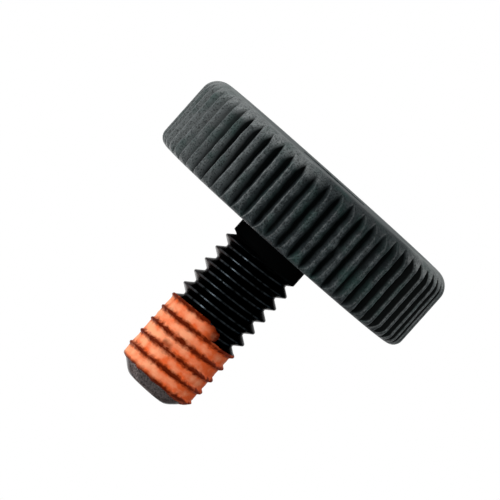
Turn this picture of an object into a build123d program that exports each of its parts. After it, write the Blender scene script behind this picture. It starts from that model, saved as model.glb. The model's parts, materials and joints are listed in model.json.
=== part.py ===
from build123d import *

import os
from math import atan2, degrees, pi

# A knurled thumb screw that stands on the flat top of its head, with its thread pointing up.
# The origin is the centre of that flat top and Z runs along the screw's axis to its tip.
# Lengths are millimetres and angles are degrees.

# Head: a wide disc, eased by a bevel and a crown to its flat top and chamfered at its bearing face
head_diameter = 28.0
head_height = 7.7
bevel_height = 1.18
bevel_depth = 0.55
crown_height = 0.62
crown_depth = 1.1
seat_chamfer = 0.65

# Straight knurl: V grooves along the axis, which run out on the bevel and on the chamfer
knurl_pitch = 1.42
knurl_groove_width = 0.86
knurl_groove_depth = 0.45

# Hex socket in the flat top, with a chamfered mouth
socket_across_flats = 6.35
socket_depth = 4.5
socket_mouth_chamfer = 0.4

# Shank: a plain neck that flares into the head, a right-hand thread and a chamfered tip
shank_length = 17.2
neck_length = 1.5
neck_undercut = 0.22
neck_flare = 0.25
neck_taper_length = 0.15
thread_diameter = 7.75
thread_pitch = 1.411
thread_depth = 0.85
thread_crest_width = 0.18
thread_start_height = 1.41
thread_start_angle = -43.0
tip_chamfer_length = 1.3
tip_chamfer_depth = 1.3

# Nylon locking patch: fills the thread's valley up to the tip's chamfer
patch_length = 6.05
patch_tip_gap = 1.6
patch_recess = 0.2

# How far a cutter or a fused root runs past the face it passes through
overrun = 0.5
# How much of the crest's width the thread cutter leaves between its own turns
cutter_web_share = 0.5

head_radius = head_diameter / 2
knurl_count = round(pi * head_diameter / knurl_pitch)
thread_radius = thread_diameter / 2
root_radius = thread_radius - thread_depth
neck_radius = thread_radius - neck_undercut
tip_radius = thread_radius - tip_chamfer_depth
tip_height = head_height + shank_length

# How fast half of the thread's V widens with radius
flank_slope = (thread_pitch - thread_crest_width) / 2 / thread_depth


def turned(*points):
    """Revolve a closed outline of (radius, height) points about the screw's axis."""
    return revolve(Plane.XZ * make_face(Polyline(*points, close=True)), Axis.Z)


def leaning(outline, height, depth):
    """A stage that stands on the XY plane and leans in all round by a depth over its height."""
    return extrude(outline, height, taper=degrees(atan2(depth, height)))


def head_outline(flat_radius):
    """The head's many-sided outline, with a corner for each knurl groove and one of them at -Y."""
    return RegularPolygon(flat_radius, knurl_count, major_radius=False, rotation=-90)


def head_blank():
    """The head before knurling: a disc that a bevel and a flatter crown ease to its flat top."""
    upside_down = Rot(180, 0, 0)
    crown_radius = head_radius - bevel_depth
    rim_start = crown_height + bevel_height
    rim_end = head_height - seat_chamfer
    rim = extrude(head_outline(head_radius), rim_end - rim_start)
    bevel = upside_down * leaning(head_outline(head_radius), bevel_height, bevel_depth)
    crown = upside_down * leaning(head_outline(crown_radius), crown_height, crown_depth)
    seat_edge = leaning(head_outline(head_radius), seat_chamfer, seat_chamfer)
    return (
        Pos(0, 0, rim_start) * (rim + bevel)
        + Pos(0, 0, crown_height) * crown
        + Pos(0, 0, rim_end) * seat_edge
    )


def knurl_grooves():
    """V prisms round the rim, one of them at the front, which is -Y."""
    widening = knurl_groove_width / 2 / knurl_groove_depth
    mouth_half_width = widening * (knurl_groove_depth + overrun)
    section = make_face(
        Polyline(
            (0, knurl_groove_depth - head_radius),
            (mouth_half_width, -head_radius - overrun),
            (-mouth_half_width, -head_radius - overrun),
            close=True,
        )
    )
    groove = Pos(0, 0, -overrun) * extrude(section, head_height + 2 * overrun)
    return [Rot(0, 0, 360 * n / knurl_count) * groove for n in range(knurl_count)]


def hex_outline(flat_radius):
    """A hexagon by the distance from its centre to its flats."""
    return RegularPolygon(flat_radius, 6, major_radius=False)


def hex_socket():
    """The tool that cuts the hex socket and its chamfered mouth."""
    flat_radius = socket_across_flats / 2
    mouth_depth = socket_mouth_chamfer + overrun
    well = extrude(hex_outline(flat_radius), socket_depth + overrun)
    mouth = leaning(hex_outline(flat_radius + mouth_depth), mouth_depth, mouth_depth)
    return Pos(0, 0, -overrun) * (well + mouth)


def helical(section, start_height, turns, start_angle):
    """Sweep a (radius, height) section up a right-hand helix about the screw's axis."""
    path = Helix(
        pitch=thread_pitch,
        height=turns * thread_pitch,
        radius=root_radius,
        center=(0, 0, start_height),
    )
    profile = Pos(0, 0, start_height) * (Plane.XZ * make_face(section))
    return Rot(0, 0, start_angle) * sweep(profile, path=path, is_frenet=True)


def valley_section(outer_radius):
    """The V between two crests, from the thread's root out to a radius."""
    half_width = flank_slope * (outer_radius - root_radius)
    return Polyline(
        (root_radius, 0),
        (outer_radius, -half_width),
        (outer_radius, half_width),
        close=True,
    )


def tip_envelope(start_height):
    """The space that holds all of the shank once its tip is turned to its chamfer and end face."""
    reach_share = 1 + overrun / tip_chamfer_depth
    return turned(
        (0, start_height),
        (tip_radius + tip_chamfer_depth * reach_share, start_height),
        (tip_radius + tip_chamfer_depth * reach_share, tip_height - tip_chamfer_length * reach_share),
        (tip_radius, tip_height),
        (0, tip_height),
    )


def threaded_shank():
    """Neck and thread cut on a rod longer than the shank, then turned back to the tip's form."""
    base_height = head_height - overrun
    rod_top = tip_height + 2 * thread_pitch
    neck_top = head_height + neck_length
    rod = turned(
        (0, base_height),
        (neck_radius + neck_flare, base_height),
        (neck_radius + neck_flare, head_height),
        (neck_radius, head_height + neck_flare),
        (neck_radius, neck_top),
        (thread_radius, neck_top + neck_taper_length),
        (thread_radius, rod_top),
        (0, rod_top),
    )
    cutter_radius = thread_radius + thread_crest_width * (1 - cutter_web_share) / 2 / flank_slope
    groove_start = head_height + thread_start_height
    turns = (tip_height - groove_start) / thread_pitch + 1
    groove = helical(valley_section(cutter_radius), groove_start, turns, thread_start_angle)
    return (rod - groove) & tip_envelope(base_height)


def locking_patch():
    """Nylon in the thread's valley, which stops just short of the tip's chamfer."""
    fill_radius = thread_radius - patch_recess
    patch_start = tip_height - patch_tip_gap - patch_length
    turns_to_patch = (patch_start - head_height - thread_start_height) / thread_pitch
    start_angle = thread_start_angle + 360 * turns_to_patch
    return helical(valley_section(fill_radius), patch_start, patch_length / thread_pitch, start_angle)


def screw():
    """The one-piece steel screw."""
    knurled_head = head_blank() - knurl_grooves()
    return knurled_head + threaded_shank() - hex_socket()


nodes = {
    "screw": screw(),
    "locking_patch": locking_patch(),
}

os.makedirs("parts", exist_ok=True)
for name, shape in nodes.items():
    export_step(shape, f"parts/{name}.step")
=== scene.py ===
import json
from math import ceil, cos, pi, radians, sin, tan
from types import SimpleNamespace

import bpy
import numpy as np
from mathutils import Matrix, Vector


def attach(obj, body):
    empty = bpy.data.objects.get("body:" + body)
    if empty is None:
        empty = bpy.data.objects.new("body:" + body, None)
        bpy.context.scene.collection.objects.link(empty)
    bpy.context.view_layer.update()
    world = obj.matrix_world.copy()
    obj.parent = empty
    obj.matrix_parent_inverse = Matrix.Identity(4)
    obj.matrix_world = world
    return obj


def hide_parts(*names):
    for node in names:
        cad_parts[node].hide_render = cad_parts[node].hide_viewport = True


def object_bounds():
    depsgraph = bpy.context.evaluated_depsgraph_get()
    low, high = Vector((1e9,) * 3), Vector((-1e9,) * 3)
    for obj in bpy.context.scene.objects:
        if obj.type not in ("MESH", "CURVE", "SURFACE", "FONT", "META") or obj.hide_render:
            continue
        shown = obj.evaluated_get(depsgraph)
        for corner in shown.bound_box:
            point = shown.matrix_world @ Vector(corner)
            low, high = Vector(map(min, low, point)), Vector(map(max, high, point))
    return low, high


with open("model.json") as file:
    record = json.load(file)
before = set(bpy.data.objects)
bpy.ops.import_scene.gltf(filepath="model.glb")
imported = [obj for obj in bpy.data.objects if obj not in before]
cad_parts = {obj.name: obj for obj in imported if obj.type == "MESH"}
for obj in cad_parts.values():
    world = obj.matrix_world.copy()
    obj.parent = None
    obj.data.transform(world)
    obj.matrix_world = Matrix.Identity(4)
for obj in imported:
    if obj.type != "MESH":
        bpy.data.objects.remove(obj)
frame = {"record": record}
cad_low, cad_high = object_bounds()

bl_info = {
    "name": "Knurled thumb screw",
    "version": (1, 0, 0),
    "blender": (4, 5, 0),
    "location": "View3D > Sidebar > Thumb screw",
    "description": "Dresses the packed knurled thumb screw and sets its stage",
    "category": "Object",
}

MM = 0.001
MOUNTS = {mount["name"]: mount for mount in frame["record"]["mounts"]}

# How far the tip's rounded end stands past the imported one, in millimetres
TIP_CROWN = 0.03

# How finely the meshes are divided, and how close two points are that become one
COLUMNS_PER_GROOVE = 12
COLUMNS_PER_TURN = 120
ROWS_PER_PITCH = 30
WELD_DISTANCE = 0.002 * MM

# Edges that turn by more than these angles stay sharp
HEAD_CREASE = radians(40)
THREAD_CREASE = radians(30)

# Knurl: the depth of a groove from its middle to the middle of a land, both as shares
GROOVE_SECTION = [(0, 1), (0.05, 0.96), (0.72, 0.1), (0.8, 0.03), (0.88, 0), (1, 0)]

# Thread: its depth from a crest to a root, both as shares
THREAD_SECTION = [(0, 0), (0.07, 0.005), (0.13, 0.05), (0.8, 0.95), (0.87, 0.99), (1, 1)]
# In pitches, how high over the bearing face a crest crosses +X, and how far a valley laps over a crest
CREST_PHASE = 0.62
CREST_LAP = 0.12
# The length in which the thread begins before the neck's end, and in which the neck widens after it
NECK_EASE = 0.45 * MM
# How deep the shank's base lies in the head, how steeply its mesh closes there, and how deep that starts
BASE_DEPTH = 0.5 * MM
BASE_SLOPE = 4.0
SHANK_LEAD = 2.4 * MM
# How far over the bearing face the thread's oiled gleam begins
GLEAM_START = 1.6 * MM

# How softly one form runs into the next
GROOVE_SOFTNESS = 0.06 * MM
NECK_SOFTNESS = 0.08 * MM
CHAMFER_SOFTNESS = 0.5 * MM
END_SOFTNESS = 0.6 * MM
FILL_SOFTNESS = 0.1 * MM
FILM_SOFTNESS = 0.2 * MM

# Patch: the angle from +X at which the nylon begins, and how many turns sooner its mesh starts
PATCH_ANGLE = -125
PATCH_LEAD = 2
# Half of the share by which the film on the crests is thinner on -X than on +X
FILM_FADE = 0.25
# The film on the tip's chamfer, and how much thicker it is on +X and thinner on -X
TIP_FILM = 0.13 * MM
TIP_FILM_LEAN = 0.07 * MM
# How far the nylon's mesh dips into the steel where there is no nylon
DIP = 0.04 * MM
# The length at the patch's last end that wavers as one turn does at its first
RAGGED_LENGTH = 8 * MM

# Marks of use, at angles from +X in degrees. One stretch of the head's top edge kept its oxide and gets no
# painted light
KEPT_ANGLE = -110
KEPT_HEIGHT = 0.8 * MM
# A nick in the corner between the rim and the bearing face
NICK_ANGLE = -146
NICK_REACH = (1 * MM, 1 * MM, 1.2 * MM)
NICK_DEPTH = 0.55 * MM
# A dent that drove metal out into a knurl groove
DENT_ANGLE = -106.3
DENT_HEIGHT = 4.1 * MM
DENT_REACH = (0.7 * MM, 0.7 * MM, 0.9 * MM)
DENT_RISE = 0.3 * MM
# A brown scab on the nylon
SCAB_ANGLE = -69
SCAB_OVER_SEAT = 13.12 * MM

# Stage, in metres
FLOOR_SIDE = 4.0
FLOOR_GAP = 0.05 * MM
LAMP_DISTANCE = 0.35
# The colour of the background and of the floor's glow
WHITE = (1, 1, 1, 1)

# Blender's names for the kinds of node used most. A Mix node takes its factor at input 0, two numbers at
# inputs 2 and 3, and two colours at inputs 6 and 7
MATH = "ShaderNodeMath"
VECTOR_MATH = "ShaderNodeVectorMath"
RAMP = "ShaderNodeMapRange"
NOISE = "ShaderNodeTexNoise"
MIX = "ShaderNodeMix"
ATTRIBUTE = "ShaderNodeAttribute"
SPLIT = "ShaderNodeSeparateXYZ"
JOIN = "ShaderNodeCombineXYZ"
STORE = "GeometryNodeStoreNamedAttribute"
MOVE = "GeometryNodeSetPosition"
WELD = "GeometryNodeMergeByDistance"
# The values between which nearly all of a noise lies
NOISE_SPAN = {"From Min": 0.3, "From Max": 0.7}


def linear(code):
    """Turn an sRGB hex code into a linear colour with full alpha."""
    channels = [int(code[i:i + 2], 16) / 255 for i in (1, 3, 5)]
    return (*[c / 12.92 if c <= 0.04045 else ((c + 0.055) / 1.055) ** 2.4 for c in channels], 1.0)


def length(name, description, millimetres):
    """A length that a user can change, in metres with its default given in millimetres."""
    return bpy.props.FloatProperty(
        name=name, description=description, default=millimetres * MM, min=0.0, unit="LENGTH", precision=5
    )


def colour(name, description, code):
    """A colour that a user can change, with its default given as sRGB hex."""
    return bpy.props.FloatVectorProperty(
        name=name, description=description, default=linear(code), size=4, min=0.0, max=1.0,
        subtype="COLOR",
    )


class ThumbScrewSizes(bpy.types.PropertyGroup):
    """Sizes of the dressed screw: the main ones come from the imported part"""

    head_radius: length("Head radius", "Over the knurl's lands", cad_high.x / MM)
    head_height: length("Head height", "From the flat top to the bearing face",
                        MOUNTS["bearing_face"]["pos_m"][2] / MM)
    tip_height: length("Tip height", "From the flat top to the tip's end face", cad_high.z / MM + TIP_CROWN)
    top_rounding: length("Top rounding", "Radius between the rim and the flat top", 1.7)
    seat_rounding: length("Seat rounding", "Radius between the rim and the bearing face", 1.0)
    knurl_count: bpy.props.IntProperty(
        name="Knurl count", description="Grooves round the rim", default=62, min=3
    )
    groove_depth: length("Groove depth", "Depth of a knurl groove", 0.72)
    socket_across_flats: length("Socket across flats", "Width of the hex socket", 6.35)
    socket_depth: length("Socket depth", "Depth of the hex socket", 4.5)
    socket_mouth: length("Socket mouth", "Width of the chamfer round the hex socket", 0.4)
    thread_radius: length("Thread radius", "Over the thread's crests", MOUNTS["thread"]["dims"]["r_mm"])
    thread_pitch: length("Thread pitch", "Distance between crests", 1.411)
    thread_depth: length("Thread depth", "From crest to root", 0.73)
    neck_radius: length("Neck radius", "Plain stretch under the head", MOUNTS["neck"]["dims"]["r_mm"])
    neck_length: length("Neck length", "From the bearing face to where the thread is cut to its depth", 1.75)
    neck_flare: length("Neck flare", "How far the neck widens into the head", 0.25)
    tip_radius: length("Tip radius", "Flat end of the tip", 2.12)
    tip_slope: bpy.props.FloatProperty(
        name="Tip slope", description="Radius gained per height on the tip's chamfer", default=1.13, min=0.1
    )
    tip_lean: length("Tip lean", "How far the tip's chamfer lies off the screw's axis towards +X", 0.1)
    patch_start: length("Patch start", "Height of the patch's first end over the bearing face", 9.55)
    patch_end: length("Patch end", "Height of the patch's ragged last end over the bearing face", 16.25)
    patch_recess: length("Patch recess", "How far the nylon lies below the crests", 0.19)
    patch_film: length("Patch film", "Nylon left on the crests", 0.06)
    patch_lean: length("Patch lean", "How much thicker the nylon lies on +X than on average", 0.075)
    patch_wall: length("Patch wall", "Thickness of the nylon's shell", 0.35)


class ThumbScrewColours(bpy.types.PropertyGroup):
    """Colours of the dressed screw and its floor"""

    oxide: colour("Oxide", "Black oxide on the head", "#242A2C")
    oxide_worn: colour("Worn oxide", "Rubbed black oxide on the head's lands", "#454C4E")
    # This pale colour also paints highlight on the knurl's edges and light on the top edge and the +X side
    oxide_rubbed_and_lit: colour("Rubbed edge", "Oxide worn thin on the head's edges, and dust on it", "#777B7B")
    oxide_temper: colour("Oxide temper", "Green-blue cast of the oxide in patches", "#263F3B")
    # The groove colour also stands for painted shade down in the knurl
    soot_and_shade: colour("Groove soot", "Oil and dirt at the bottom of the knurl", "#040606")
    thread: colour("Thread oxide", "Oiled black oxide on the shank", "#050606")
    thread_edge: colour("Thread edge", "Tint of the shank's gleam at a grazing angle", "#A8A8A8")
    # The crest colour also paints a gleam on the thread's +X side
    crest: colour("Thread crest", "Burnished crests and roots of the thread", "#373E43")
    # The tip colour also paints light on the thread's +X edge
    tip: colour("Bare tip", "Rubbed grey on the tip's chamfer, and dust on the thread", "#575150")
    nylon: colour("Nylon", "Locking patch in the valleys", "#EC6734")
    # The pale colour also paints light on the patch's +X side
    nylon_pale: colour("Pale nylon", "Locking patch where it lies thick", "#FDA77C")
    # The scorched colour also paints shade on the patch's -X side
    nylon_scorched: colour("Scorched nylon", "Locking patch on the crests and at its ends", "#5C1903")
    floor: colour("Floor", "Opal acrylic under the screw", "#F4F4F2")


def plug(tree, node, inputs):
    """Link or set a node's inputs. A node given for one stands for its first output in use."""
    for key, value in inputs.items():
        if isinstance(value, bpy.types.Node):
            value = next(output for output in value.outputs if output.enabled)
        if isinstance(value, bpy.types.NodeSocket):
            tree.links.new(value, node.inputs[key])
        else:
            node.inputs[key].default_value = value


def add(tree, kind, inputs=None, operation=None, **settings):
    """Add a node with its operation and other settings, and link or set its inputs."""
    node = tree.nodes.new(kind)
    if operation:
        node.operation = operation
    for name, value in settings.items():
        setattr(node, name, value)
    plug(tree, node, inputs or {})
    return node


def straight_stretches(mapping, points):
    """Give a curve mapping straight stretches between these points."""
    curve = mapping.curves[0]
    curve.points[0].location, curve.points[1].location = points[0], points[-1]
    for x, y in points[1:-1]:
        curve.points.new(x, y)
    for point in curve.points:
        point.handle_type = "VECTOR"
    mapping.update()


def new_geometry_tree(name, sizes):
    """A geometry node tree with a named input for each size, as (tree, its input sockets by name)."""
    tree = bpy.data.node_groups.new(name, "GeometryNodeTree")
    tree.interface.new_socket("Geometry", in_out="INPUT", socket_type="NodeSocketGeometry")
    tree.interface.new_socket("Geometry", in_out="OUTPUT", socket_type="NodeSocketGeometry")
    for size, value in sizes.items():
        kind = "NodeSocketInt" if isinstance(value, int) else "NodeSocketFloat"
        tree.interface.new_socket(size, in_out="INPUT", socket_type=kind)
    source = tree.nodes.new("NodeGroupInput")
    return tree, source.outputs


def end_geometry_tree(tree, geometry, material):
    """Close a tree the way that every piece needs it: smooth, realised and with its material."""
    smooth = add(tree, "GeometryNodeSetShadeSmooth", {"Geometry": geometry})
    real = add(tree, "GeometryNodeRealizeInstances", {"Geometry": smooth})
    painted = add(tree, "GeometryNodeSetMaterial", {"Geometry": real, "Material": material})
    add(tree, "NodeGroupOutput", {"Geometry": painted})


def new_object(name, data):
    """An object at the origin that is linked to the scene."""
    item = bpy.data.objects.new(name, data)
    bpy.context.scene.collection.objects.link(item)
    return item


def apply_modifiers(piece):
    """Make what a piece's modifiers give its own plain mesh, and remove the mesh that it had."""
    before = piece.data
    shaped = piece.evaluated_get(bpy.context.evaluated_depsgraph_get())
    made = bpy.data.meshes.new_from_object(shaped)
    piece.modifiers.clear()
    piece.data = made
    bpy.data.meshes.remove(before)
    made.name = piece.name


def run_geometry_tree(name, mesh, tree, sizes):
    """Run a tree on a mesh and keep the result as a plain mesh object at the origin."""
    piece = new_object(name, mesh)
    modifier = piece.modifiers.new(tree.name, "NODES")
    modifier.node_group = tree
    for item in tree.interface.items_tree:
        if item.in_out == "INPUT" and item.name in sizes:
            modifier[item.identifier] = sizes[item.name]
    apply_modifiers(piece)
    bpy.data.node_groups.remove(tree)
    return piece


def round_axis(radius, angle, height):
    """A place at a radius from the screw's axis, an angle from +X in degrees and a height."""
    return (radius * cos(radians(angle)), radius * sin(radians(angle)), height)


def push(mesh, place, reach, shift):
    """Move the vertices round a place by a shift that fades out at its reach along X, Y and Z.

    Returns how much of the shift each vertex took."""
    points = np.empty(len(mesh.vertices) * 3, np.float32)
    mesh.vertices.foreach_get("co", points)
    points = points.reshape(-1, 3)
    far = np.linalg.norm((points - np.array(place)) / np.array(reach), axis=1)
    share = np.clip(1 - far, 0, 1)
    share = share * share * (3 - 2 * share)
    points += share[:, None] * np.array(shift)
    mesh.vertices.foreach_set("co", points.astype(np.float32).ravel())
    mesh.update()
    return share


def knock(mesh, s):
    """Press the nick and the dent into the finished head. The dent leaves its groove less deep."""
    push(mesh, round_axis(s.head_radius, NICK_ANGLE, s.head_height), NICK_REACH, (0, 0, -NICK_DEPTH))
    in_groove = round_axis(s.head_radius - s.groove_depth / 2, DENT_ANGLE, DENT_HEIGHT)
    filled = push(mesh, in_groove, DENT_REACH, round_axis(DENT_RISE, DENT_ANGLE, 0))
    groove = mesh.attributes["groove"].data
    depths = np.empty(len(groove), np.float32)
    groove.foreach_get("value", depths)
    depths *= 1 - filled.astype(np.float32)
    groove.foreach_set("value", depths)


def arc(centre_radius, centre_height, radius, start, end, steps):
    """Points (radius, height) on an arc, from one angle to another in degrees."""
    angles = np.radians(np.linspace(start, end, steps + 1))
    return [(centre_radius + radius * cos(a), centre_height + radius * sin(a)) for a in angles]


def head_profile(s):
    """Rows (radius, height, how far the row follows the hexagon) from the bearing face to the socket.

    The last number of each stretch says how finely it is divided."""
    top, seat = s.top_rounding, s.seat_rounding
    face_rows = np.linspace(s.thread_radius / 2, s.head_radius - seat, 6)[:-1]
    outer = [(r, s.head_height) for r in face_rows]
    outer += arc(s.head_radius - seat, s.head_height - seat, seat, 90, 0, 8)
    outer += [(s.head_radius, h) for h in np.linspace(s.head_height - seat, top, 26)[1:-1]]
    outer += arc(s.head_radius - top, top, top, 0, -90, 18)
    flat = s.socket_across_flats / 2
    outer += [(r, 0.0) for r in np.linspace(s.head_radius - top, flat + 3 * s.socket_mouth, 6)[1:]]
    mouth = [(flat + s.socket_mouth, 0.0), (flat, s.socket_mouth)]
    wall = [(flat, h) for h in np.linspace(s.socket_mouth, s.socket_depth, 6)[1:]]
    floor = [(flat * share, s.socket_depth) for share in (0.8, 0.4)]
    return [(r, h, 0.0) for r, h in outer] + [(r, h, 1.0) for r, h in mouth + wall + floor]


def turned_blank(s, columns):
    """The head before knurling, as a closed lathe mesh whose socket rows are stretched to a hexagon."""
    angles = -pi / 2 + np.arange(columns) * 2 * pi / columns
    sixth = pi / 3
    hexagon = 1 / np.cos((angles + sixth / 2) % sixth - sixth / 2)
    profile = head_profile(s)
    rings = []
    for radius, height, share in profile:
        reach = radius * (1 + share * (hexagon - 1))
        heights = np.full(columns, height)
        rings.append(np.column_stack([reach * np.cos(angles), reach * np.sin(angles), heights]))
    points = np.vstack(rings + [[(0, 0, s.head_height)], [(0, 0, s.socket_depth)]])
    seat_pole, floor_pole = len(points) - 2, len(points) - 1
    ring = np.arange(columns)
    after = (ring + 1) % columns
    faces = []
    for row in range(len(profile) - 1):
        low, high = row * columns, (row + 1) * columns
        faces += np.column_stack([low + ring, high + ring, high + after, low + after]).tolist()
    last = (len(profile) - 1) * columns
    sides = list(zip(ring.tolist(), after.tolist()))
    faces += [[seat_pole, j, k] for j, k in sides]
    faces += [[floor_pole, last + k, last + j] for j, k in sides]
    mesh = bpy.data.meshes.new("turned_blank")
    mesh.from_pydata(points.tolist(), [], faces)
    mesh.update()
    return mesh


def knurl_tree(material, sizes):
    """Cut V grooves along the rim: each vertex is drawn in to the groove's radius at its angle.

    It keeps how deep in a groove each vertex lies, and on which side of one."""
    tree, size = new_geometry_tree("straight_knurl", sizes)
    x, y, z = add(tree, SPLIT, {0: add(tree, "GeometryNodeInputPosition")}).outputs
    angle = add(tree, MATH, {0: y, 1: x}, "ARCTAN2")
    from_front = add(tree, MATH, {0: angle, 1: pi / 2}, "ADD")
    phase = add(tree, MATH, {0: from_front, 1: size["Count"]}, "MULTIPLY")
    phase = add(tree, MATH, {0: phase, 1: 2 * pi}, "DIVIDE")
    # The knurling wheel wandered a little, so the grooves' edges waver along the rim
    waver = add(tree, NOISE, {"Scale": 1 / (0.9 * MM), "Detail": 2.0})
    drift = add(tree, RAMP, {"Value": waver, **NOISE_SPAN, "To Min": -0.03, "To Max": 0.03})
    phase = add(tree, MATH, {0: phase, 1: drift}, "ADD")
    # From 0 in the middle of a groove to 1 in the middle of a land
    across = add(tree, MATH, {0: phase, 1: 0.5}, "PINGPONG")
    across = add(tree, MATH, {0: across, 1: 2.0}, "MULTIPLY")
    groove = add(tree, "ShaderNodeFloatCurve", {"Value": across})
    straight_stretches(groove.mapping, GROOVE_SECTION)
    number = add(tree, MATH, {0: phase}, "ROUND")
    uneven = add(tree, "FunctionNodeRandomValue", {2: 0.85, 3: 1.1, "ID": number, "Seed": 4})
    depth = add(tree, MATH, {0: groove, 1: size["Depth"]}, "MULTIPLY")
    depth = add(tree, MATH, {0: depth, 1: uneven}, "MULTIPLY")
    limit = add(tree, MATH, {0: size["Radius"], 1: depth}, "SUBTRACT")
    flat_place = add(tree, JOIN, {0: x, 1: y})
    radius = add(tree, VECTOR_MATH, {0: flat_place}, "LENGTH")
    new_radius = add(tree, MATH, {0: radius, 1: limit, 2: size["Softness"]}, "SMOOTH_MIN")
    factor = add(tree, MATH, {0: new_radius, 1: radius}, "DIVIDE")
    moved = add(tree, VECTOR_MATH, {0: flat_place, "Scale": factor}, "SCALE")
    lifted = add(tree, VECTOR_MATH, {0: moved, 1: add(tree, JOIN, {2: z})}, "ADD")
    taken = add(tree, MATH, {0: radius, 1: new_radius}, "SUBTRACT")
    share = add(tree, MATH, {0: taken, 1: size["Depth"]}, "DIVIDE", use_clamp=True)
    off_centre = add(tree, MATH, {0: phase, 1: number}, "SUBTRACT")
    leading = add(tree, RAMP, {"Value": off_centre, "From Min": 0.1, "From Max": -0.1})
    kept = add(tree, STORE, {"Geometry": size["Geometry"], "Name": "groove", "Value": share})
    kept = add(tree, STORE, {"Geometry": kept, "Name": "leading", "Value": leading})
    cut = add(tree, MOVE, {"Geometry": kept, "Position": lifted})
    end_geometry_tree(tree, cut, material)
    return tree


def helical_grid(tree, size):
    """A grid whose rows run along the thread.

    The grid's X is a share of one turn and its Y is the height at which the row crosses +X, so the seam on
    -X joins each row to the one a pitch higher. With it come each vertex's height, how near it is to
    a root and to a crest, its turns along its valley and its place across it, and the cosine and sine of
    its angle."""
    rows = add(tree, MATH, {0: size["Turns"], 1: size["Rows"], 2: 1.0}, "MULTIPLY_ADD")
    columns = add(tree, MATH, {0: size["Columns"], 1: 1.0}, "ADD")
    reach = add(tree, MATH, {0: size["Turns"], 1: size["Pitch"]}, "MULTIPLY")
    grid = add(tree, "GeometryNodeMeshGrid",
               {"Size X": 1.0, "Size Y": reach, "Vertices X": columns, "Vertices Y": rows})
    share, across, _ = add(tree, SPLIT, {0: add(tree, "GeometryNodeInputPosition")}).outputs
    middle = add(tree, MATH, {0: reach, 1: 0.5, 2: size["Start"]}, "MULTIPLY_ADD")
    row_height = add(tree, MATH, {0: across, 1: middle}, "ADD")
    angle = add(tree, MATH, {0: share, 1: 2 * pi}, "MULTIPLY")
    height = add(tree, MATH, {0: share, 1: size["Pitch"], 2: row_height}, "MULTIPLY_ADD")
    over_crest = add(tree, MATH, {0: row_height, 1: size["Crest"]}, "SUBTRACT")
    phase = add(tree, MATH, {0: over_crest, 1: size["Pitch"]}, "DIVIDE")
    root = add(tree, MATH, {0: phase, 1: 0.5}, "PINGPONG")
    root = add(tree, MATH, {0: root, 1: 2.0}, "MULTIPLY")
    valley = add(tree, MATH, {0: phase, 1: CREST_LAP}, "ADD")
    valley = add(tree, MATH, {0: valley}, "FLOOR")
    return SimpleNamespace(
        grid=grid, height=height, root=root,
        crest=add(tree, MATH, {0: 1.0, 1: root}, "SUBTRACT"),
        along=add(tree, MATH, {0: valley, 1: share}, "ADD"),
        inside=add(tree, MATH, {0: phase, 1: valley}, "SUBTRACT"),
        cosine=add(tree, MATH, {0: angle}, "COSINE"),
        sine=add(tree, MATH, {0: angle}, "SINE"),
    )


def wrapped(tree, helix, radius, height):
    """The place of each vertex of a helical grid at a radius and a height."""
    sideways = add(tree, MATH, {0: helix.cosine, 1: radius}, "MULTIPLY")
    forwards = add(tree, MATH, {0: helix.sine, 1: radius}, "MULTIPLY")
    return add(tree, JOIN, {0: sideways, 1: forwards, 2: height})


def chamfer_radius(tree, size, helix):
    """The radius of the tip's chamfer, a cone that lies a little off the screw's axis."""
    below_tip = add(tree, MATH, {0: size["Tip"], 1: helix.height}, "SUBTRACT")
    cone = add(tree, MATH, {0: below_tip, 1: size["Tip slope"], 2: size["Tip radius"]}, "MULTIPLY_ADD")
    return add(tree, MATH, {0: helix.cosine, 1: size["Tip lean"], 2: cone}, "MULTIPLY_ADD")


def steel_radius(tree, size, helix):
    """The steel's radius: neck and flare, then the thread's crests and valleys, then the tip's chamfer."""
    over_seat = add(tree, MATH, {0: helix.height, 1: size["Seat"]}, "SUBTRACT")
    cut = add(tree, "ShaderNodeFloatCurve", {"Value": helix.root})
    straight_stretches(cut.mapping, THREAD_SECTION)
    begun = add(tree, RAMP, {"Value": over_seat, "From Min": size["Thread begins"],
                             "From Max": size["Neck ends"]}, interpolation_type="SMOOTHSTEP")
    depth = add(tree, MATH, {0: cut, 1: size["Depth"]}, "MULTIPLY")
    depth = add(tree, MATH, {0: depth, 1: begun}, "MULTIPLY")
    thread = add(tree, MATH, {0: size["Radius"], 1: depth}, "SUBTRACT")
    neck = add(tree, RAMP, {"Value": over_seat, "To Min": size["Neck"], "To Max": size["Radius"],
                            "From Min": size["Neck ends"], "From Max": size["Thread full"]},
               interpolation_type="SMOOTHSTEP")
    radius = add(tree, MATH, {0: thread, 1: neck, 2: NECK_SOFTNESS}, "SMOOTH_MIN")
    flare = add(tree, RAMP, {"Value": over_seat, "From Max": size["Flare"],
                             "To Min": size["Flare"], "To Max": 0.0})
    radius = add(tree, MATH, {0: radius, 1: flare}, "ADD")
    chamfer = chamfer_radius(tree, size, helix)
    return add(tree, MATH, {0: radius, 1: chamfer, 2: CHAMFER_SOFTNESS}, "SMOOTH_MIN")


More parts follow.
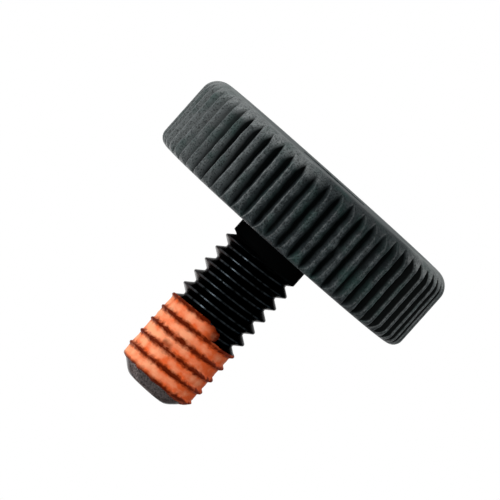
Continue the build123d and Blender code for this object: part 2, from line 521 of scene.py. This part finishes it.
def shank_tree(material, sizes):
    """Neck, thread and tip as one helical grid that closes inside the head and on the tip's end face."""
    tree, size = new_geometry_tree("threaded_shank", sizes)
    helix = helical_grid(tree, size)
    radius = steel_radius(tree, size, helix)
    base = add(tree, MATH, {0: size["Seat"], 1: BASE_DEPTH}, "SUBTRACT")
    over_base = add(tree, MATH, {0: helix.height, 1: base}, "SUBTRACT")
    closing = add(tree, MATH, {0: over_base, 1: BASE_SLOPE, 2: size["Neck"]}, "MULTIPLY_ADD")
    radius = add(tree, MATH, {0: radius, 1: closing}, "MINIMUM")
    radius = add(tree, MATH, {0: radius, 1: 0.0}, "MAXIMUM")
    level = add(tree, MATH, {0: helix.height, 1: size["Tip"], 2: END_SOFTNESS}, "SMOOTH_MIN")
    level = add(tree, MATH, {0: level, 1: base}, "MAXIMUM")
    over_chamfer = add(tree, MATH, {0: radius, 1: chamfer_radius(tree, size, helix)}, "SUBTRACT")
    on_tip = add(tree, RAMP, {"Value": over_chamfer, "From Min": -0.3 * MM, "From Max": -0.1 * MM})
    kept = add(tree, STORE, {"Geometry": helix.grid, "Name": "crest", "Value": helix.crest})
    kept = add(tree, STORE, {"Geometry": kept, "Name": "tip", "Value": on_tip})
    placed = add(tree, MOVE, {"Geometry": kept, "Position": wrapped(tree, helix, radius, level)})
    welded = add(tree, WELD, {"Geometry": placed, "Distance": WELD_DISTANCE})
    end_geometry_tree(tree, welded, material)
    return tree


def patch_ends(tree, size, helix, lump):
    """How many turns the nylon is past its first end, how far it is from its last, and where it lies.

    Both ends are ragged, and the first one slants across its valley."""
    ragged = add(tree, RAMP, {"Value": lump, **NOISE_SPAN, "To Min": -0.015, "To Max": 0.015})
    slant = add(tree, RAMP, {"Value": helix.inside, "From Min": -CREST_LAP, "From Max": 0.5,
                             "To Min": -0.045, "To Max": 0.0})
    from_start = add(tree, MATH, {0: helix.along, 1: size["First turn"]}, "SUBTRACT")
    from_start = add(tree, MATH, {0: from_start, 1: ragged}, "ADD")
    from_start = add(tree, MATH, {0: from_start, 1: slant}, "ADD")
    begun = add(tree, RAMP, {"Value": from_start, "From Max": 0.06}, interpolation_type="SMOOTHSTEP")
    to_end = add(tree, MATH, {0: size["End"], 1: helix.height}, "SUBTRACT")
    to_end = add(tree, MATH, {0: ragged, 1: RAGGED_LENGTH, 2: to_end}, "MULTIPLY_ADD")
    not_ended = add(tree, RAMP, {"Value": to_end, "From Max": 0.15 * MM}, interpolation_type="SMOOTHSTEP")
    there = add(tree, MATH, {0: begun, 1: not_ended}, "MULTIPLY")
    return from_start, to_end, there


def nylon_radius(tree, size, helix, lump, steel):
    """The nylon's radius: it is lumpy, thick in the valleys and thin on the crests and the tip."""
    fill = add(tree, MATH, {0: size["Radius"], 1: size["Recess"]}, "SUBTRACT")
    fill = add(tree, MATH, {0: helix.cosine, 1: size["Lean"], 2: fill}, "MULTIPLY_ADD")
    thinned = add(tree, MATH, {0: helix.cosine, 1: FILM_FADE, 2: 1 - FILM_FADE}, "MULTIPLY_ADD")
    coat = add(tree, MATH, {0: thinned, 1: size["Film"], 2: steel}, "MULTIPLY_ADD")
    nylon = add(tree, MATH, {0: fill, 1: coat, 2: FILL_SOFTNESS}, "SMOOTH_MAX")
    lumps = add(tree, RAMP, {"Value": lump, **NOISE_SPAN, "To Min": -0.02 * MM, "To Max": 0.05 * MM})
    nylon = add(tree, MATH, {0: nylon, 1: lumps}, "ADD")
    film = add(tree, MATH, {0: helix.cosine, 1: TIP_FILM_LEAN, 2: TIP_FILM}, "MULTIPLY_ADD")
    film = add(tree, MATH, {0: film, 1: chamfer_radius(tree, size, helix)}, "ADD")
    return add(tree, MATH, {0: nylon, 1: film, 2: FILM_SOFTNESS}, "SMOOTH_MIN")


def patch_tree(material, sizes):
    """Nylon over the thread: it fills the valleys, thins out over the crests and ends raggedly."""
    tree, size = new_geometry_tree("locking_patch", sizes)
    helix = helical_grid(tree, size)
    on_thread = wrapped(tree, helix, size["Radius"], helix.height)
    lump = add(tree, NOISE, {"Vector": on_thread, "Scale": 1 / (0.8 * MM), "Detail": 3.0})
    from_start, to_end, there = patch_ends(tree, size, helix, lump)
    steel = steel_radius(tree, size, helix)
    nylon = nylon_radius(tree, size, helix, lump, steel)
    below = add(tree, MATH, {0: steel, 1: DIP}, "SUBTRACT")
    radius = add(tree, MIX, {0: there, 2: below, 3: nylon})
    thin_end = add(tree, RAMP, {"Value": to_end, "From Min": 0.5 * MM, "From Max": 0.1 * MM})
    thin_start = add(tree, RAMP, {"Value": from_start, "From Min": 0.1, "From Max": 0.02})
    thin = add(tree, MATH, {0: thin_end, 1: thin_start}, "MAXIMUM")
    bare = add(tree, "FunctionNodeCompare", {0: there, 1: 0.001}, "LESS_THAN")
    kept = add(tree, STORE, {"Geometry": helix.grid, "Name": "crest", "Value": helix.crest})
    kept = add(tree, STORE, {"Geometry": kept, "Name": "thin", "Value": thin})
    kept = add(tree, STORE, {"Geometry": kept, "Name": "bare", "Value": bare}, data_type="BOOLEAN")
    placed = add(tree, MOVE, {"Geometry": kept, "Position": wrapped(tree, helix, radius, helix.height)})
    is_bare = add(tree, "GeometryNodeInputNamedAttribute", {"Name": "bare"}, data_type="BOOLEAN")
    trimmed = add(tree, "GeometryNodeDeleteGeometry", {"Geometry": placed, "Selection": is_bare})
    welded = add(tree, WELD, {"Geometry": trimmed, "Distance": WELD_DISTANCE})
    end_geometry_tree(tree, welded, material)
    return tree


def thread_sizes(s):
    """The sizes that the shank and the patch share, by the names of the trees' inputs."""
    return {
        "Pitch": s.thread_pitch, "Radius": s.thread_radius, "Depth": s.thread_depth, "Neck": s.neck_radius,
        "Flare": s.neck_flare, "Seat": s.head_height, "Tip": s.tip_height, "Tip radius": s.tip_radius,
        "Tip slope": s.tip_slope, "Tip lean": s.tip_lean,
        "Thread begins": s.neck_length - NECK_EASE, "Neck ends": s.neck_length,
        "Thread full": s.neck_length + NECK_EASE, "Crest": s.head_height + CREST_PHASE * s.thread_pitch,
        "Columns": COLUMNS_PER_TURN, "Rows": ROWS_PER_PITCH,
    }


def new_material(name):
    """An empty node material, as (material, tree, its Principled shader)."""
    material = bpy.data.materials.new(name)
    material.use_nodes = True
    tree = material.node_tree
    return material, tree, tree.nodes["Principled BSDF"]


def head_surface(tree, kept_place):
    """What the head's finish is made from: places, the knurl, flecks of rubbing, and where hands touch it
    and the top edge is painted lighter.
    """
    place = add(tree, "ShaderNodeTexCoord").outputs["Object"]
    sideways, forwards, height = add(tree, SPLIT, {0: place}).outputs
    # Rubbing shows in flecks about half a millimetre wide
    mottle = add(tree, NOISE, {"Vector": place, "Scale": 1 / (0.5 * MM), "Detail": 5.0, "Roughness": 0.7})
    away = add(tree, VECTOR_MATH, {0: place, 1: kept_place}, "DISTANCE")
    return SimpleNamespace(
        place=place, sideways=sideways, forwards=forwards, height=height, mottle=mottle,
        groove=add(tree, ATTRIBUTE, attribute_name="groove").outputs["Fac"],
        leading=add(tree, ATTRIBUTE, attribute_name="leading").outputs["Fac"],
        rubbed=add(tree, RAMP, {"Value": mottle, "From Min": 0.4, "From Max": 0.6}),
        touched=add(tree, RAMP, {"Value": away, "From Min": 5 * MM, "From Max": 7.5 * MM, "To Min": 0.1}),
    )


def land_wear(tree, head):
    """Flecks of worn oxide on the lands, fewer in the grooves and at the top of the kept stretch."""
    land = add(tree, RAMP, {"Value": head.groove, "From Min": 0.3, "From Max": 0.0, "To Min": 0.35})
    below_top = add(tree, RAMP, {"Value": head.height, "From Min": 1.6 * MM, "From Max": 2.4 * MM})
    exposed = add(tree, MATH, {0: below_top, 1: head.touched}, "MAXIMUM")
    worn = add(tree, MATH, {0: head.rubbed, 1: land}, "MULTIPLY")
    return add(tree, MATH, {0: worn, 1: exposed}, "MULTIPLY")


def arris_wear_and_highlight(tree, head):
    """Pale lines along the lands' edges: worn oxide with painted highlight, clearest on their leading sides
    and towards +X and -X, where the lamps catch the knurl.
    """
    off_land = add(tree, RAMP, {"Value": head.groove, "From Max": 0.06})
    above_flank = add(tree, RAMP, {"Value": head.groove, "From Min": 0.22, "From Max": 0.1})
    leading = add(tree, RAMP, {"Value": head.leading, "To Min": 0.25})
    broken = add(tree, RAMP, {"Value": head.rubbed, "To Min": 0.5})
    # Painted highlight: the lines are paler towards +X and towards -X
    highlight_towards_plus_x = add(tree, RAMP, {"Value": head.sideways, "From Max": 4 * MM, "To Min": 0.35})
    highlight_towards_minus_x = add(tree, RAMP, {"Value": head.sideways, "From Min": -8 * MM, "From Max": -11 * MM})
    wear = add(tree, MATH, {0: highlight_towards_plus_x, 1: highlight_towards_minus_x}, "MAXIMUM")
    for share in (off_land, above_flank, leading, broken):
        wear = add(tree, MATH, {0: wear, 1: share}, "MULTIPLY")
    return wear


def top_edge_wear_and_light(tree, head):
    """Oxide rubbed thin round the head's top edge, where hands touch it, and painted light on that edge."""
    near_top = add(tree, RAMP, {"Value": head.height, "From Min": 1.5 * MM, "From Max": 0.6 * MM})
    from_axis = add(tree, JOIN, {0: head.sideways, 1: head.forwards})
    from_axis = add(tree, VECTOR_MATH, {0: from_axis}, "LENGTH")
    at_edge = add(tree, RAMP, {"Value": from_axis, "From Min": 9 * MM, "From Max": 12.3 * MM, "To Min": 0.2})
    flecked = add(tree, RAMP, {"Value": head.mottle, "From Min": 0.25, "From Max": 0.6, "To Min": 0.45})
    wear = head.touched
    for share in (near_top, at_edge, flecked):
        wear = add(tree, MATH, {0: wear, 1: share}, "MULTIPLY")
    return wear


def painted_side_light(tree, head):
    """Painted light from the +X side: paler towards +X, and most in the grooves there."""
    film = add(tree, RAMP, {"Value": head.sideways, "From Min": 4 * MM, "From Max": 13 * MM, "To Max": 0.4})
    lit_grooves = add(tree, RAMP, {"Value": head.sideways, "From Min": 9.5 * MM, "From Max": 13 * MM,
                            "To Max": 0.7})
    return add(tree, MATH, {0: lit_grooves, 1: head.groove, 2: film}, "MULTIPLY_ADD", use_clamp=True)


def groove_dirt_and_shade(tree, head):
    """Oil and grime in the grooves and in the oxide's pits, and painted shade down in the grooves.

    The grooves are blackest towards -X, black near the flat top on the +X half, and lighter at the +X end,
    as painted shade that follows where light falls into them."""
    shade_by_side = add(tree, RAMP, {"Value": head.sideways, "From Min": -8 * MM, "From Max": -12 * MM,
                             "To Min": 1.0, "To Max": 4.0})
    packed = add(tree, RAMP, {"Value": head.sideways, "From Min": 1 * MM, "From Max": 4 * MM})
    near_top = add(tree, RAMP, {"Value": head.height, "From Min": 2.5 * MM, "From Max": 6 * MM,
                                "To Min": 0.4, "To Max": -0.15})
    packed = add(tree, MATH, {0: packed, 1: near_top, 2: 1.0}, "MULTIPLY_ADD")
    shade_by_side = add(tree, MATH, {0: shade_by_side, 1: packed}, "MULTIPLY")
    dirt_and_shade = add(tree, MATH, {0: head.groove, 1: shade_by_side}, "MULTIPLY")
    dirt_and_shade = add(tree, RAMP, {"Value": dirt_and_shade, "From Min": 0.24, "From Max": 0.75})
    less_shade_at_x_end = add(tree, RAMP, {"Value": head.sideways, "From Min": 9 * MM, "From Max": 12 * MM,
                             "To Min": 1.0, "To Max": 0.1})
    dirt_and_shade = add(tree, MATH, {0: dirt_and_shade, 1: less_shade_at_x_end}, "MULTIPLY")
    # Real pits are finer than a pixel of the render, so these are as coarse as they need to be to show
    pits = add(tree, NOISE, {"Vector": head.place, "Scale": 1 / (0.14 * MM), "Detail": 2.0})
    pits = add(tree, RAMP, {"Value": pits, "From Min": 0.46, "From Max": 0.66, "To Max": 0.65})
    return add(tree, MATH, {0: dirt_and_shade, 1: pits}, "MAXIMUM")


def black_oxide_steel(c, kept_place):
    """Turned and knurled steel, blackened in hot oxide and worn by hands.

    Round the kept place the head's top edge has held its oxide and is not painted lighter."""
    # It gives the eye a satin blue-grey black, paler on its rubbed edges and black down in the knurl, with
    # painted highlights on its edges, painted light on its +X side and top edge, and painted shade in its
    # grooves
    material, tree, shader = new_material("black_oxide_steel")
    head = head_surface(tree, kept_place)
    # Worn edges, with painted highlight along the knurl and painted light on the top edge
    edges = add(tree, MATH, {0: arris_wear_and_highlight(tree, head), 1: top_edge_wear_and_light(tree, head)}, "MAXIMUM")
    # Hot oxide takes a green-blue cast in clouds about two millimetres wide
    cast = add(tree, NOISE, {"Vector": head.place, "Scale": 1 / (2.2 * MM), "Detail": 2.0})
    cast = add(tree, RAMP, {"Value": cast, "From Min": 0.5, "From Max": 0.75, "To Max": 0.7})
    steel = c.oxide
    for share, tint in (
        (land_wear(tree, head), c.oxide_worn),
        (edges, c.oxide_rubbed_and_lit),
        (painted_side_light(tree, head), c.oxide_rubbed_and_lit),
        (cast, c.oxide_temper),
        (groove_dirt_and_shade(tree, head), c.soot_and_shade),
    ):
        steel = add(tree, MIX, {0: share, 6: steel, 7: tint}, data_type="RGBA")
    # The oxide's etched grain is also drawn coarser than it is
    grain = add(tree, NOISE, {"Vector": head.place, "Scale": 1 / (0.16 * MM), "Detail": 3.0})
    rough = add(tree, RAMP, {"Value": grain, "To Min": 0.3, "To Max": 0.5})
    bump = add(tree, "ShaderNodeBump", {"Height": grain, "Strength": 0.6, "Distance": 0.05 * MM})
    plug(tree, shader, {"Base Color": steel, "Roughness": rough, "Normal": bump, "Specular IOR Level": 0.04})
    return material


def oiled_black_thread(c, gleam_start):
    """Rolled steel thread in oiled black oxide, with a tip that is rubbed grey."""
    # It gives the eye a nearly black metal that gleams along its crests and roots, past a dull neck, with a
    # painted gleam and painted light on its +X side
    material, tree, shader = new_material("oiled_black_thread")
    place = add(tree, "ShaderNodeTexCoord").outputs["Object"]
    sideways, _, height = add(tree, SPLIT, {0: place}).outputs
    oiled = add(tree, RAMP, {"Value": height, "From Min": gleam_start, "From Max": gleam_start + 0.5 * MM})
    # Rolling put a burnish on the crests and the roots, in scuffs about half a millimetre wide
    crest = add(tree, ATTRIBUTE, attribute_name="crest").outputs["Fac"]
    from_flank = add(tree, MATH, {0: crest, 1: 0.5}, "SUBTRACT")
    from_flank = add(tree, MATH, {0: from_flank}, "ABSOLUTE")
    flat = add(tree, RAMP, {"Value": from_flank, "From Min": 0.36, "From Max": 0.44})
    scuff = add(tree, NOISE, {"Vector": place, "Scale": 1 / (0.5 * MM), "Detail": 4.0})
    patchy = add(tree, RAMP, {"Value": scuff, "From Min": 0.35, "From Max": 0.65})
    # Painted gleam: the burnish is stronger towards +X, where the lamps light the crests
    rubbed = add(tree, RAMP, {"Value": sideways, "From Min": -0.5 * MM, "From Max": 1.5 * MM, "To Min": 0.4})
    burnish_and_gleam = oiled
    for share in (flat, patchy, rubbed):
        burnish_and_gleam = add(tree, MATH, {0: burnish_and_gleam, 1: share}, "MULTIPLY")
    # Painted light: the thread's +X edge is drawn paler grey
    painted_edge_light = add(tree, RAMP, {"Value": sideways, "From Min": 2.2 * MM, "From Max": 3.8 * MM, "To Max": 0.5})
    painted_edge_light = add(tree, MATH, {0: painted_edge_light, 1: oiled}, "MULTIPLY")
    # The specks that the oxide left on the tip are drawn as coarse as they need to be to show
    tip = add(tree, ATTRIBUTE, attribute_name="tip").outputs["Fac"]
    speck = add(tree, NOISE, {"Vector": place, "Scale": 1 / (0.14 * MM), "Detail": 2.0})
    specked = add(tree, RAMP, {"Value": speck, "From Min": 0.36, "From Max": 0.6, "To Min": 0.2})
    tip = add(tree, MATH, {0: tip, 1: specked}, "MULTIPLY")
    oxide = c.thread
    for share, tint in ((burnish_and_gleam, c.crest), (painted_edge_light, c.tip), (tip, c.tip)):
        oxide = add(tree, MIX, {0: share, 6: oxide, 7: tint}, data_type="RGBA")
    rough = add(tree, RAMP, {"Value": scuff, "To Min": 0.14, "To Max": 0.28})
    rough = add(tree, MIX, {0: oiled, 2: 0.75, 3: rough})
    bump = add(tree, "ShaderNodeBump", {"Height": scuff, "Strength": 0.15, "Distance": 0.03 * MM})
    plug(tree, shader, {"Base Color": oxide, "Roughness": rough, "Normal": bump, "Metallic": 1.0,
                        "Specular Tint": c.thread_edge})
    return material


def fused_nylon(c, scab_place):
    """Nylon powder fused onto the hot thread, with a scab of scorched powder at one place."""
    # It gives the eye a matt orange, paler where it lies thick and scorched brown where it is thin, with
    # painted light paling its +X side and painted shade browning its -X side
    material, tree, shader = new_material("fused_orange_nylon")
    place = add(tree, "ShaderNodeTexCoord").outputs["Object"]
    sideways = add(tree, SPLIT, {0: place}).outputs["X"]
    crest = add(tree, ATTRIBUTE, attribute_name="crest").outputs["Fac"]
    # The powder lies in clouds about a millimetre wide and thinner on the crests. Towards +X, where it lies
    # thicker, it is painted paler as light
    cloud = add(tree, NOISE, {"Vector": place, "Scale": 1 / (1.1 * MM), "Detail": 3.0})
    thick_and_lit = add(tree, RAMP, {"Value": cloud, "From Min": 0.3, "From Max": 0.66})
    pale_towards_light = add(tree, RAMP, {"Value": sideways, "From Min": -3 * MM, "From Max": 3.8 * MM,
                              "To Min": -0.2, "To Max": 0.4})
    thick_and_lit = add(tree, MATH, {0: thick_and_lit, 1: pale_towards_light}, "ADD")
    thick_and_lit = add(tree, MATH, {0: crest, 1: -0.6, 2: thick_and_lit}, "MULTIPLY_ADD", use_clamp=True)
    nylon = add(tree, MIX, {0: thick_and_lit, 6: c.nylon, 7: c.nylon_pale}, data_type="RGBA")
    # Scorching follows the crests, the scab and the thin ends, and towards the -X side the nylon is browner
    # as painted shade. Its specks are drawn coarser than the powder's grains, so that they show
    speck = add(tree, NOISE, {"Vector": place, "Scale": 1 / (0.5 * MM), "Detail": 4.0})
    spread = add(tree, RAMP, {"Value": speck, **NOISE_SPAN, "To Min": -0.2, "To Max": 0.2})
    scorch = add(tree, MATH, {0: crest, 1: spread}, "ADD")
    scorch = add(tree, RAMP, {"Value": scorch, "From Min": 0.4, "From Max": 0.9})
    away = add(tree, VECTOR_MATH, {0: place, 1: scab_place}, "DISTANCE")
    away = add(tree, MATH, {0: spread, 1: -0.6 * MM, 2: away}, "MULTIPLY_ADD")
    scab = add(tree, RAMP, {"Value": away, "From Min": 0.75 * MM, "From Max": 0.4 * MM, "To Max": 0.65})
    scorch_and_shade = add(tree, RAMP, {"Value": sideways, "From Min": -1.6 * MM, "From Max": -3.9 * MM,
                              "To Max": 0.7})
    thin = add(tree, ATTRIBUTE, attribute_name="thin").outputs["Fac"]
    for share in (scab, scorch_and_shade, thin):
        scorch = add(tree, MATH, {0: scorch, 1: share}, "MAXIMUM")
    nylon = add(tree, MIX, {0: scorch, 6: nylon, 7: c.nylon_scorched}, data_type="RGBA")
    bump = add(tree, "ShaderNodeBump", {"Height": speck, "Strength": 0.3, "Distance": 0.05 * MM})
    plug(tree, shader, {"Base Color": nylon, "Roughness": 0.65, "Normal": bump, "Specular IOR Level": 0.03})
    return material


def fit(piece, node):
    """Let a finished piece stand for a CAD node: attach it to the root body and hide the node."""
    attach(piece, "root")
    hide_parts(node)


class THUMBSCREW_OT_knurled_head(bpy.types.Operator):
    """Turn the head, sink its hex socket, cut its straight knurl and press in its nick and dent"""

    bl_idname = "thumb_screw.knurled_head"
    bl_label = "Knurled head"

    def execute(self, context):
        s = context.scene.thumb_screw_sizes
        sizes = {"Count": s.knurl_count, "Radius": s.head_radius, "Depth": s.groove_depth,
                 "Softness": GROOVE_SOFTNESS}
        kept_place = round_axis(s.head_radius, KEPT_ANGLE, KEPT_HEIGHT)
        material = black_oxide_steel(context.scene.thumb_screw_colours, kept_place)
        tree = knurl_tree(material, sizes)
        blank = turned_blank(s, s.knurl_count * COLUMNS_PER_GROOVE)
        piece = run_geometry_tree("knurled_head", blank, tree, sizes)
        knock(piece.data, s)
        piece.data.set_sharp_from_angle(angle=HEAD_CREASE)
        fit(piece, "screw")
        return {"FINISHED"}


class THUMBSCREW_OT_threaded_shank(bpy.types.Operator):
    """Roll the neck, the right-hand thread and the chamfered tip"""

    bl_idname = "thumb_screw.threaded_shank"
    bl_label = "Threaded shank"

    def execute(self, context):
        s = context.scene.thumb_screw_sizes
        start = s.head_height - SHANK_LEAD
        # The grid runs on past the tip to where the chamfer's cone closes, and a turn more for its seam
        closed = s.tip_height + s.tip_radius / s.tip_slope
        turns = ceil((closed - start) / s.thread_pitch) + 1
        sizes = thread_sizes(s) | {"Start": start, "Turns": turns}
        material = oiled_black_thread(context.scene.thumb_screw_colours, s.head_height + GLEAM_START)
        tree = shank_tree(material, sizes)
        piece = run_geometry_tree("threaded_shank", bpy.data.meshes.new("blank"), tree, sizes)
        piece.data.set_sharp_from_angle(angle=THREAD_CREASE)
        fit(piece, "screw")
        return {"FINISHED"}


class THUMBSCREW_OT_locking_patch(bpy.types.Operator):
    """Fuse the nylon patch into the thread's valleys"""

    bl_idname = "thumb_screw.locking_patch"
    bl_label = "Locking patch"

    def execute(self, context):
        s = context.scene.thumb_screw_sizes
        # The valley in which the nylon begins, counted from the first root over the bearing face
        first = PATCH_ANGLE / 360
        root_phase = CREST_PHASE - 0.5
        valley = round(s.patch_start / s.thread_pitch - root_phase - first)
        turns = ceil((s.patch_end - s.patch_start) / s.thread_pitch + PATCH_LEAD) + 1
        sizes = thread_sizes(s) | {
            "Start": s.head_height + s.patch_start - PATCH_LEAD * s.thread_pitch, "Turns": turns,
            "Recess": s.patch_recess, "Film": s.patch_film, "Lean": s.patch_lean,
            "End": s.head_height + s.patch_end, "First turn": valley - 1 + first,
        }
        scab_place = round_axis(s.thread_radius, SCAB_ANGLE, s.head_height + SCAB_OVER_SEAT)
        material = fused_nylon(context.scene.thumb_screw_colours, scab_place)
        tree = patch_tree(material, sizes)
        piece = run_geometry_tree("locking_patch_nylon", bpy.data.meshes.new("blank"), tree, sizes)
        wall = piece.modifiers.new("wall", "SOLIDIFY")
        wall.thickness = s.patch_wall
        wall.offset = -1.0
        apply_modifiers(piece)
        fit(piece, "locking_patch")
        return {"FINISHED"}


def softbox(name, target, direction, side, power):
    """A square area lamp that looks at the target from a direction."""
    lamp = bpy.data.lights.new(name, "AREA")
    lamp.shape, lamp.size, lamp.energy = "SQUARE", side, power
    item = new_object(name, lamp)
    back = Vector(direction).normalized()
    item.location = target + back * LAMP_DISTANCE
    item.rotation_euler = (-back).to_track_quat("-Z", "Y").to_euler()
    return item


def seen_rays(tree, rays):
    """Whether what a ray meets is seen: by the camera, in a reflection or through something clear."""
    seen = add(tree, MATH, {0: rays["Is Camera Ray"], 1: rays["Is Glossy Ray"]}, "MAXIMUM")
    return add(tree, MATH, {0: seen, 1: rays["Is Transmission Ray"]}, "MAXIMUM")


def white_background():
    """A world that looks white and gives the object only a little even light."""
    world = bpy.data.worlds.new("white_room")
    bpy.context.scene.world = world
    world.use_nodes = True
    tree = world.node_tree
    seen = seen_rays(tree, add(tree, "ShaderNodeLightPath").outputs)
    strength = add(tree, RAMP, {"Value": seen, "To Min": 0.06})
    plug(tree, tree.nodes["Background"], {"Color": WHITE, "Strength": strength})


def opal_acrylic(c):
    """A sheet of opal acrylic, as on a light table."""
    # It gives the eye a matt white with a faint glow that keeps shadows, and from below it is clear
    material, tree, shader = new_material("opal_acrylic")
    rays = add(tree, "ShaderNodeLightPath").outputs
    glow = add(tree, RAMP, {"Value": seen_rays(tree, rays), "To Max": 0.45})
    plug(tree, shader, {"Base Color": c.floor, "Roughness": 0.9, "Specular IOR Level": 0.0,
                        "Emission Color": WHITE, "Emission Strength": glow})
    # Lamp light from below also passes, so that lamps under the floor reach the screw
    under = add(tree, "ShaderNodeNewGeometry").outputs["Backfacing"]
    passed = add(tree, MATH, {0: under, 1: rays["Is Shadow Ray"]}, "MAXIMUM")
    clear = add(tree, "ShaderNodeBsdfTransparent")
    mixed = add(tree, "ShaderNodeMixShader", {0: passed, 1: shader, 2: clear})
    plug(tree, tree.nodes["Material Output"], {"Surface": mixed})
    return material


def pale_floor(material):
    """A square floor just under the screw."""
    half = FLOOR_SIDE / 2
    corners = [(-half, -half, 0), (half, -half, 0), (half, half, 0), (-half, half, 0)]
    mesh = bpy.data.meshes.new("pale_floor")
    mesh.from_pydata(corners, [], [(0, 1, 2, 3)])
    mesh.materials.append(material)
    floor = new_object("pale_floor", mesh)
    floor.location.z = -FLOOR_GAP


def photograph_camera(scene):
    """Look at the screw from its front, rolled so that the tip points down to the left."""
    # The photograph's side and scale, and how far the screw's axis leans in it
    image_side = 500
    millimetres_per_pixel = 0.0883
    axis_angle = radians(48.3)
    # Where it was taken from, and the place that is in its middle
    distance = 0.6
    azimuth = radians(0.5)
    tilt = radians(1.3)
    level = 3.85 * MM
    target = Vector((1.36 * MM, 0, 9.66 * MM))
    sensor_width = 36
    place = Vector((distance * tan(azimuth), -distance, level - distance * tan(tilt)))
    back = (place - target).normalized()
    # Up in the photograph lies between +X and -Z
    up = Vector((cos(axis_angle), 0, -sin(axis_angle)))
    right = up.cross(back).normalized()
    up = back.cross(right)
    data = bpy.data.cameras.new("photograph")
    data.sensor_width = sensor_width
    data.lens = sensor_width * (place - target).length / (image_side * millimetres_per_pixel * MM)
    data.clip_start, data.clip_end = 0.01, 20
    scene.camera = new_object("photograph", data)
    scene.camera.matrix_world = Matrix.Translation(place) @ Matrix((right, up, back)).transposed().to_4x4()


class THUMBSCREW_OT_stage(bpy.types.Operator):
    """Set the floor, the lamps and the camera at the photograph's angle"""

    bl_idname = "thumb_screw.stage"
    bl_label = "Stage"

    def execute(self, context):
        scene = context.scene
        scene.view_settings.view_transform = "Standard"
        white_background()
        pale_floor(opal_acrylic(scene.thumb_screw_colours))
        middle = Vector((0, 0, cad_high.z / 2))
        softbox("key", middle, (0.78, 0.12, -0.61), side=0.14, power=0.85)
        softbox("side", middle, (0.73, -0.68, 0.0), side=0.14, power=0.54)
        fill = softbox("fill", middle, (-0.1, -0.99, 0.0), side=0.3, power=0.86)
        softbox("rim", middle, (-0.74, 0.3, -0.6), side=0.12, power=0.72)
        softbox("top", middle, (0.3, 0.72, 0.6), side=0.3, power=0.5)
        # The fill lightens the front without a broad gleam of its own on the thread
        fill.visible_glossy = False
        photograph_camera(scene)
        return {"FINISHED"}


class THUMBSCREW_PT_panel(bpy.types.Panel):
    """Lists the screw's pieces and the values that they are made from"""

    bl_idname = "THUMBSCREW_PT_panel"
    bl_label = "Thumb screw"
    bl_space_type = "VIEW_3D"
    bl_region_type = "UI"
    bl_category = "Thumb screw"

    def draw(self, context):
        for operator in OPERATORS:
            self.layout.operator(operator.bl_idname)
        for group in (context.scene.thumb_screw_sizes, context.scene.thumb_screw_colours):
            for name in group.__annotations__:
                self.layout.prop(group, name)


OPERATORS = (
    THUMBSCREW_OT_knurled_head,
    THUMBSCREW_OT_threaded_shank,
    THUMBSCREW_OT_locking_patch,
    THUMBSCREW_OT_stage,
)
CLASSES = (ThumbScrewSizes, ThumbScrewColours, *OPERATORS, THUMBSCREW_PT_panel)


def register():
    """Register the classes, and keep the sizes and colours on the scene."""
    for item in CLASSES:
        bpy.utils.register_class(item)
    bpy.types.Scene.thumb_screw_sizes = bpy.props.PointerProperty(type=ThumbScrewSizes)
    bpy.types.Scene.thumb_screw_colours = bpy.props.PointerProperty(type=ThumbScrewColours)


def unregister():
    """Take away what register added, in the opposite order."""
    del bpy.types.Scene.thumb_screw_colours
    del bpy.types.Scene.thumb_screw_sizes
    for item in reversed(CLASSES):
        bpy.utils.unregister_class(item)


def main():
    """Make every piece and the stage."""
    register()
    bpy.ops.thumb_screw.knurled_head()
    bpy.ops.thumb_screw.threaded_shank()
    bpy.ops.thumb_screw.locking_patch()
    bpy.ops.thumb_screw.stage()


if __name__ == "__main__":
    main()
